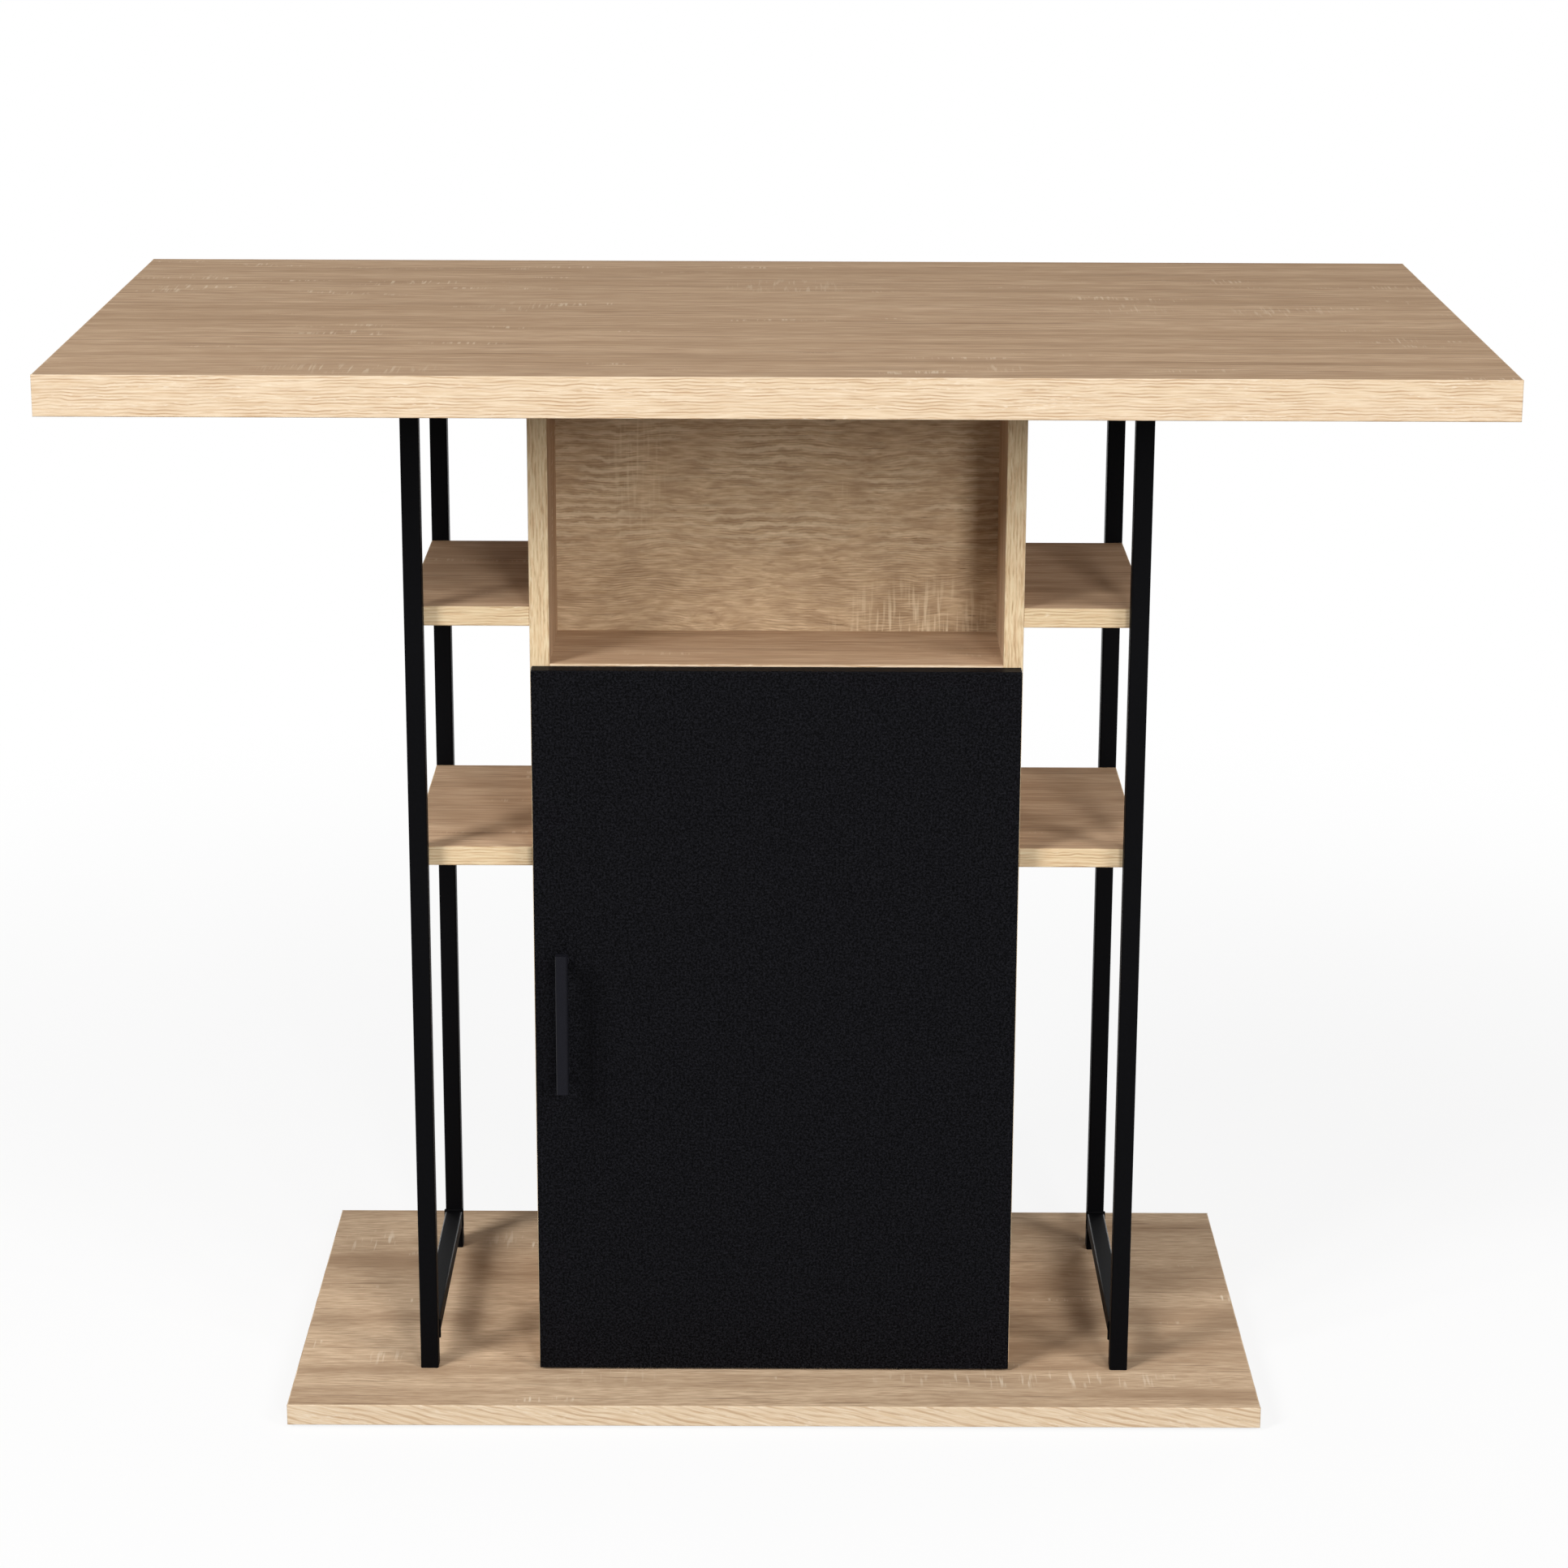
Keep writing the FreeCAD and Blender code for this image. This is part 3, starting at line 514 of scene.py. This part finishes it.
# Side shelves: two small boards on each side between the cabinet and the frame.
# Steel tabs welded to the legs carry them on screws from below; their three open edges have edging.
shelves = ("left_lower_shelf", "left_upper_shelf", "right_lower_shelf", "right_upper_shelf")
dress(oak_across, *shelves)
end_strips = bmesh.new()
long_strips = bmesh.new()
for board in shelves:
    outer_side = -1 if board.startswith("left") else 1
    add_edge_strip(end_strips, board, ACROSS, outer_side, DEEP, band_thickness)
    for side in (-1, 1):
        add_edge_strip(long_strips, board, DEEP, side, ACROSS, 0.0)
shelf_edging = wavy_edging("edging_oak_warm", side_tones)
finish_piece("shelf_end_edging", end_strips, shelf_edging[DEEP], "oak_band", "island", "side_shelf_bands")
finish_piece("shelf_long_edging", long_strips, shelf_edging[ACROSS], "oak_band", "island",
             "side_shelf_bands")

# A node's mesh is loose triangles, and corners nearer to each other than this are one.
same_spot = 0.000001


def boxes_of(node):
    """The lowest and highest corner of each separate solid in a node."""
    copy = bmesh.new()
    copy.from_mesh(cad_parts[node].data)
    bmesh.ops.remove_doubles(copy, verts=copy.verts[:], dist=same_spot)
    boxes = []
    sorted_out = set()
    for first in copy.verts:
        if first in sorted_out:
            continue
        sorted_out.add(first)
        joined = [first]
        for corner in joined:
            beside = [edge.other_vert(corner) for edge in corner.link_edges]
            joined += [other for other in dict.fromkeys(beside) if other not in sorted_out]
            sorted_out.update(beside)
        boxes.append((Vector([min(corner.co[axis] for corner in joined) for axis in (ACROSS, DEEP, UP)]),
                      Vector([max(corner.co[axis] for corner in joined) for axis in (ACROSS, DEEP, UP)])))
    copy.free()
    return boxes


# A pan head, in shares of its radius and height: a flat top, a rounded shoulder, and a cross recess
# that narrows towards its floor. The driver stops each screw a part turn further than the last.
head_sides = 24
head_flat = 0.7
head_shoulder = ((0.90, 0.15), (1.0, 0.50), (1.0, 1.0))
recess_arm = 0.52
recess_half_width = 0.12
recess_taper = 0.7
recess_depth = 0.6
screw_tip = 0.1
part_turn = math.radians(37)


def grow_loop(shape, loop):
    """Extrudes a loop of edges where it stands, and returns the new vertices and the new loop."""
    grown = bmesh.ops.extrude_edge_only(shape, edges=loop)["geom"]
    corners = [part for part in grown if isinstance(part, bmesh.types.BMVert)]
    new_loop = [part for part in grown
                if isinstance(part, bmesh.types.BMEdge) and set(part.verts) <= set(corners)]
    return corners, new_loop


def add_screw(shape, box, faces, side, shank, head_height, turn):
    """Adds a pan-head screw in a box, with a cross recess turned by an angle. Its head looks along the
    axis faces, on the given side, and shank is its thread's radius. It is made upright, head up, and then
    laid into its place."""
    low, high = box
    length = high[faces] - low[faces]
    head = (high - low)[(faces + 1) % 3] / 2
    before = set(shape.verts)
    rim = bmesh.ops.create_circle(shape, segments=head_sides, radius=head * head_flat)["verts"]
    ring = edges_at(rim)
    arm = head * recess_arm
    half = head * recess_half_width
    quarter = ((arm, -half), (arm, half), (half, half))
    outline = []
    for sine, cosine in ((0, 1), (1, 0), (0, -1), (-1, 0)):
        outline += [shape.verts.new((x * cosine - y * sine, x * sine + y * cosine, 0)) for x, y in quarter]
    cross = [shape.edges.new(pair) for pair in zip(outline, outline[1:] + outline[:1])]
    bmesh.ops.triangle_fill(shape, use_beauty=True, edges=ring + cross)
    steps = [(radius, depth * head_height) for radius, depth in head_shoulder]
    steps += [(shank / head, head_height), (shank / head, length - 2 * shank), (screw_tip, length)]
    for radius, depth in steps:
        corners, ring = grow_loop(shape, ring)
        for corner in corners:
            corner.co = corner.co.to_2d().normalized().to_3d() * radius * head - Vector((0, 0, depth))
    bmesh.ops.edgeloop_fill(shape, edges=ring)
    corners, recess_floor = grow_loop(shape, cross)
    bmesh.ops.scale(shape, vec=(recess_taper, recess_taper, 1.0), verts=corners)
    bmesh.ops.translate(shape, vec=(0, 0, -recess_depth * head_height), verts=corners)
    bmesh.ops.edgeloop_fill(shape, edges=recess_floor)
    made = [corner for corner in shape.verts if corner not in before]
    looks = Vector((0, 0, 0))
    looks[faces] = side
    seat = (low + high) / 2
    seat[faces] = high[faces] if side > 0 else low[faces]
    laid = looks.to_track_quat("Z", "Y").to_matrix() @ Matrix.Rotation(turn, 3, "Z")
    bmesh.ops.rotate(shape, cent=(0, 0, 0), matrix=laid, verts=made)
    bmesh.ops.translate(shape, vec=seat, verts=made)


def finish_screws(name, node, body, faces, side, shank, head_height):
    """Makes all screws of a node, their recesses turned as the driver happened to leave them."""
    shape = bmesh.new()
    for number, box in enumerate(boxes_of(node)):
        add_screw(shape, box, faces, side, shank, head_height, part_turn * number)
    bmesh.ops.recalc_face_normals(shape, faces=shape.faces[:])
    finish_piece(name, shape, nickel_plate, "plated_steel", body, node)


wood_shank = 0.00175
wood_head = 0.0012
finish_screws("shelf_screw_set", "shelf_screws", "island", UP, -1, wood_shank, wood_head)


# Hinges: two concealed hinges of pressed steel, each a cup let into the door, a link on two pins,
# and an arm screwed to a mounting plate on the cabinet's right side.
pressed_radius = 0.0003
pressed_segments = 2

# Triangles that lie nearly flat to each other are joined first, so that only real edges are rounded.
flat_within = math.radians(0.5)
sharp_from = math.radians(40)
hinge_bodies = {"cup": "door_leaf", "cup_pin": "door_leaf", "link": "hinge_links", "arm": "island",
                "arm_pin": "island", "plate": "island"}
for height in ("lower", "upper"):
    for part, body in hinge_bodies.items():
        node = height + "_hinge_" + part
        shape = bmesh.new()
        shape.from_mesh(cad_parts[node].data)
        bmesh.ops.remove_doubles(shape, verts=shape.verts[:], dist=same_spot)
        bmesh.ops.dissolve_limit(shape, angle_limit=flat_within, verts=shape.verts[:], edges=shape.edges[:])
        piece = finish_piece(node + "_pressed", shape, nickel_plate, "plated_steel", body, node)
        piece.data.shade_smooth()
        rounding = piece.modifiers.new("pressed_edges", "BEVEL")
        rounding.width = pressed_radius
        rounding.segments = pressed_segments
        rounding.limit_method = "ANGLE"
        rounding.angle_limit = sharp_from
        rounding.harden_normals = True
arm_shank = 0.002
arm_head = 0.002
finish_screws("cup_screw_set", "hinge_cup_screws", "door_leaf", DEEP, 1, wood_shank, wood_head)
finish_screws("plate_screw_set", "hinge_plate_screws", "island", ACROSS, -1, wood_shank, wood_head)
finish_screws("arm_screw_set", "hinge_arm_screws", "island", ACROSS, -1, arm_shank, arm_head)


# Door: chipboard faced with black melamine, hung in front of the cabinet, with black edging all round.
# The panel that closes the cupboard at the rear, set between the sides, is cut from the same board.

# Black melamine, pressed with a pearl plate: near black, with a fine even grit that sparkles where
# the light rakes it. Its paler specks are painted glints, sparkle drawn into the colour, on top of the
# grit's real relief and dullness. The grit is drawn coarser than the real one, so that it shows.
black_board = speckled("melamine_black_pearl", speck_mm=1.7, detail=3.0, dark="#030304", light="#1c1c20",
                       smooth=0.36, rough=0.54, relief=0.35, relief_depth=0.0003,
                       constants={"Specular IOR Level": 0.03}, crispness=0.7, levels=(0.42, 0.72))
dress(black_board, "door", "rear_panel")
shape = bmesh.new()
for side in (-1, 1):
    add_edge_strip(shape, "door", UP, side, ACROSS, band_thickness)
    add_edge_strip(shape, "door", ACROSS, side, UP, 0.0)
finish_piece("door_edging", shape, black_board, "black_band", "door_leaf", "door_edge_bands")


# Handle: a slim bar of black lacquered steel with a rounded front, at the door's free edge.
# It stands on two turned posts, each with a small foot, and is screwed on from inside the door.

# Lacquered steel, sprayed: satin black, a little lighter and bluer than the frames, with a faint grain.
handle_lacquer = speckled("steel_lacquered_satin_black", speck_mm=1.2, detail=2.0, dark="#131317",
                          light="#19191f", smooth=0.34, rough=0.46, relief=0.08, relief_depth=0.0001,
                          constants={"Specular IOR Level": 0.06})
bar_front_radius = 0.0025
bar_front_segments = 8
bar_end_radius = 0.0006
bar_end_segments = 3
low, high = corners_of("handle_bar")
shape = bmesh.new()
add_block(shape, low, high)
front_edges = [edge for edge in shape.edges
               if all(abs(corner.co.y - low.y) < bar_end_radius for corner in edge.verts)
               and edge.calc_length() > (high.z - low.z) / 2]
round_edges(shape, front_edges, bar_front_radius, bar_front_segments)
end_edges = [edge for edge in shape.edges
             if abs(edge.verts[0].co.z - edge.verts[1].co.z) < bar_end_radius]
round_edges(shape, end_edges, bar_end_radius, bar_end_segments)
finish_piece("handle_bar_body", shape, handle_lacquer, "black_steel", "door_leaf", "handle_bar")

# Each post is turned in one piece with its foot, whose rim is sloped off.
post_sides = 28
post_radius = 0.004
foot_radius = 0.0052
foot_height = 0.0016
foot_rim = foot_height * 0.6
foot_slope = foot_height * 0.4
low, high = corners_of("handle_posts")
reach = high.y - low.y
outline = ((0.0, 0.0), (foot_radius, 0.0), (foot_radius, foot_rim), (foot_radius - foot_slope, foot_height),
           (post_radius, foot_height), (post_radius, reach))
shape = bmesh.new()
for height in (low.z + post_radius, high.z - post_radius):
    axis = Vector(((low.x + high.x) / 2, high.y, height))
    corners = [shape.verts.new(axis + Vector((out, -along, 0))) for out, along in outline]
    profile = [shape.edges.new(pair) for pair in zip(corners, corners[1:])]
    bmesh.ops.spin(shape, geom=corners + profile, cent=axis, axis=(0, 1, 0), angle=2 * math.pi,
                   steps=post_sides, use_merge=True)
bmesh.ops.remove_doubles(shape, verts=shape.verts[:], dist=same_spot)
bmesh.ops.recalc_face_normals(shape, faces=shape.faces[:])
finish_piece("handle_post_pair", shape, handle_lacquer, "black_steel", "door_leaf", "handle_posts")
handle_shank = 0.002
handle_head = 0.002
finish_screws("handle_screw_set", "handle_screws", "door_leaf", DEEP, 1, handle_shank, handle_head)


# Bumpers: two small domes cast of clear polyurethane, which soften the door's closing.
# They stick with their own adhesive to the inside of the door, near its free edge.

# Clear polyurethane, cast: a glassy dome with a faint cloud in it.
clear_dome = speckled("polyurethane_cast_clear", speck_mm=2.0, detail=2.0, dark="#d2d3cf",
                      light="#eaebe7", smooth=0.15, rough=0.28, relief=0.05, relief_depth=0.0001,
                      constants={"IOR": 1.49, "Transmission Weight": 0.6})
dome_radius = 0.004
dome_sides = 28
dome_rings = 18
low, high = corners_of("door_bumpers")
dome_height = high.y - low.y
shape = bmesh.new()
for height in (low.z + dome_radius, high.z - dome_radius):
    dome = bmesh.ops.create_uvsphere(shape, u_segments=dome_sides, v_segments=dome_rings,
                                     radius=dome_radius)["verts"]
    bmesh.ops.scale(shape, vec=(1.0, dome_height / dome_radius, 1.0), verts=dome)
    bmesh.ops.translate(shape, vec=((low.x + high.x) / 2, low.y, height), verts=dome)
cut_flat(shape, (0, low.y, 0), (0, -1, 0))
domes = finish_piece("bumper_domes", shape, clear_dome, "clear_bumper", "door_leaf", "door_bumpers")
domes.data.shade_smooth()


# Worktop: a thick chipboard slab faced with the same oak print, laid on the cabinet and both frames.
# It is screwed on from below, and its four edges carry the widest edging on the piece.
worktop_sawn = saw_marks_on("worktop", ((-0.326, -0.268, 0.085, 0.026, 0.8),
                                        (-0.213, 0.032, 0.034, 0.034, 0.6),
                                        (0.006, 0.154, 0.066, 0.042, 0.6),
                                        (0.288, 0.032, 0.046, 0.034, 0.7),
                                        (0.414, 0.020, 0.058, 0.032, 0.7),
                                        (0.165, -0.255, 0.034, 0.022, 0.6)))
oak_worktop = printed_oak("melamine_oak_embossed_worktop", GRAIN_ALONG[ACROSS], board_tones, board_layers,
                          board_sway, board_ripple, worktop_sawn, board_roughness)
dress(oak_worktop, "worktop")
finish_slab_edging("worktop", "worktop", edging[ACROSS])
worktop_shank = 0.002
worktop_head = 0.0025
finish_screws("worktop_screw_set", "worktop_screws", "island", UP, -1, worktop_shank, worktop_head)


# Floor: a plain pale paper floor. What looks at it sees it nearly white near the island, with its
# shadow, and plain white further off, where it runs into the surroundings. The light that it sends back
# to the island is that of a light grey paper, so that the shade under the worktop keeps its depth.


def seen_share(tree):
    """An output that is 1 where something is looked at, straight, in a reflection or through a clear
    piece, and 0 where it only sends light."""
    rays = add_node(tree, "ShaderNodeLightPath")
    camera_or_gloss = add_node(tree, "ShaderNodeMath",
                               {0: rays.outputs["Is Camera Ray"], 1: rays.outputs["Is Glossy Ray"]},
                               operation="MAXIMUM")
    seen = add_node(tree, "ShaderNodeMath",
                    {0: camera_or_gloss.outputs[0], 1: rays.outputs["Is Transmission Ray"]},
                    operation="MAXIMUM")
    return seen.outputs[0]


floor_reach = 30.0
floor_mesh = bpy.data.meshes.new("floor")
shape = bmesh.new()
bmesh.ops.create_grid(shape, x_segments=2, y_segments=2, size=floor_reach)
shape.to_mesh(floor_mesh)
shape.free()
floor = bpy.data.objects.new("floor", floor_mesh)
bpy.context.scene.collection.objects.link(floor)
floor_paper = bpy.data.materials.new("paper_white_studio")
floor_paper.use_nodes = True
tree = floor_paper.node_tree
tree.nodes.remove(tree.nodes["Principled BSDF"])
shadow_near = 0.7
shadow_far = 2.2
nearby_whiteness = 0.86
seen = seen_share(tree)
place = add_node(tree, "ShaderNodeTexCoord")
distance = add_node(tree, "ShaderNodeVectorMath", {0: place.outputs["Object"]}, operation="LENGTH")
whiteness = add_node(tree, "ShaderNodeMapRange",
                     {"Value": distance.outputs["Value"], "From Min": shadow_near, "From Max": shadow_far,
                      "To Min": nearby_whiteness, "To Max": 1.0}, interpolation_type="SMOOTHSTEP")
share = add_node(tree, "ShaderNodeMath", {0: seen, 1: whiteness.outputs[0]}, operation="MULTIPLY")
paper_tone = add_node(tree, "ShaderNodeMix", {0: seen, 6: colour("#959595"), 7: colour("#f0f0f0")},
                      data_type="RGBA")
matt = add_node(tree, "ShaderNodeBsdfDiffuse", {"Color": paper_tone.outputs[2]})
white = add_node(tree, "ShaderNodeEmission", {"Color": colour("#ffffff"), "Strength": 1.0})
both = add_node(tree, "ShaderNodeMixShader", {0: share.outputs[0], 1: matt.outputs[0], 2: white.outputs[0]})
tree.links.new(both.outputs[0], tree.nodes["Material Output"].inputs["Surface"])
floor_mesh.materials.append(floor_paper)


# Light: five large soft boxes, left, right, in front and two low behind, and a little light from all
# round. What looks at the surroundings sees plain white.
world = bpy.data.worlds.new("white_studio")
bpy.context.scene.world = world
world.use_nodes = True
tree = world.node_tree
surroundings_strength = 0.03
fill = tree.nodes["Background"]
fill.inputs["Color"].default_value = colour("#ffffff")
fill.inputs["Strength"].default_value = surroundings_strength
white = add_node(tree, "ShaderNodeBackground", {"Color": colour("#ffffff"), "Strength": 1.0})
both = add_node(tree, "ShaderNodeMixShader", {0: seen_share(tree), 1: fill.outputs[0], 2: white.outputs[0]})
tree.links.new(both.outputs[0], tree.nodes["World Output"].inputs["Surface"])

# Each soft box has its bearing from the front and its height in degrees, its width and height in metres
# and its power in watts.
lamp_distance = 7.0
lit_point = Vector((0.0, 0.0, 0.5))
for name, bearing, height, wide, tall, power in (("left_soft_box", -45, 32, 1.9, 2.4, 400.0),
                                                 ("right_soft_box", 45, 32, 1.9, 2.4, 208.0),
                                                 ("front_soft_box", 14, 19, 1.1, 2.2, 218.0),
                                                 ("rear_left_soft_box", -150, 2, 1.9, 1.2, 210.0),
                                                 ("rear_right_soft_box", 150, 2, 1.9, 1.2, 210.0)):
    turned = math.radians(bearing)
    raised = math.radians(height)
    towards = Vector((math.cos(raised) * math.sin(turned), -math.cos(raised) * math.cos(turned),
                      math.sin(raised)))
    lamp = bpy.data.lights.new(name, "AREA")
    lamp.shape = "RECTANGLE"
    lamp.size = wide
    lamp.size_y = tall
    lamp.energy = power
    soft_box = bpy.data.objects.new(name, lamp)
    soft_box.location = lit_point + towards * lamp_distance
    soft_box.rotation_euler = towards.to_track_quat("Z", "Y").to_euler()
    bpy.context.scene.collection.objects.link(soft_box)


# Camera: a long lens in front of the island, well above the worktop, looking down on it.
# Its place, lens and angles, in degrees, were fitted to the photograph's corners.
lens_length = 90.3
looks_down = 15.85
leans = -0.22
turns = -0.02
camera_data = bpy.data.cameras.new("camera")
camera_data.sensor_width = 36.0
camera_data.lens = lens_length
camera = bpy.data.objects.new("camera", camera_data)
camera.location = (0.002, -3.219, 1.412)
camera.rotation_euler = (math.radians(90 - looks_down), math.radians(leans), math.radians(turns))
bpy.context.scene.collection.objects.link(camera)
bpy.context.scene.camera = camera
bpy.context.scene.view_settings.view_transform = "Standard"
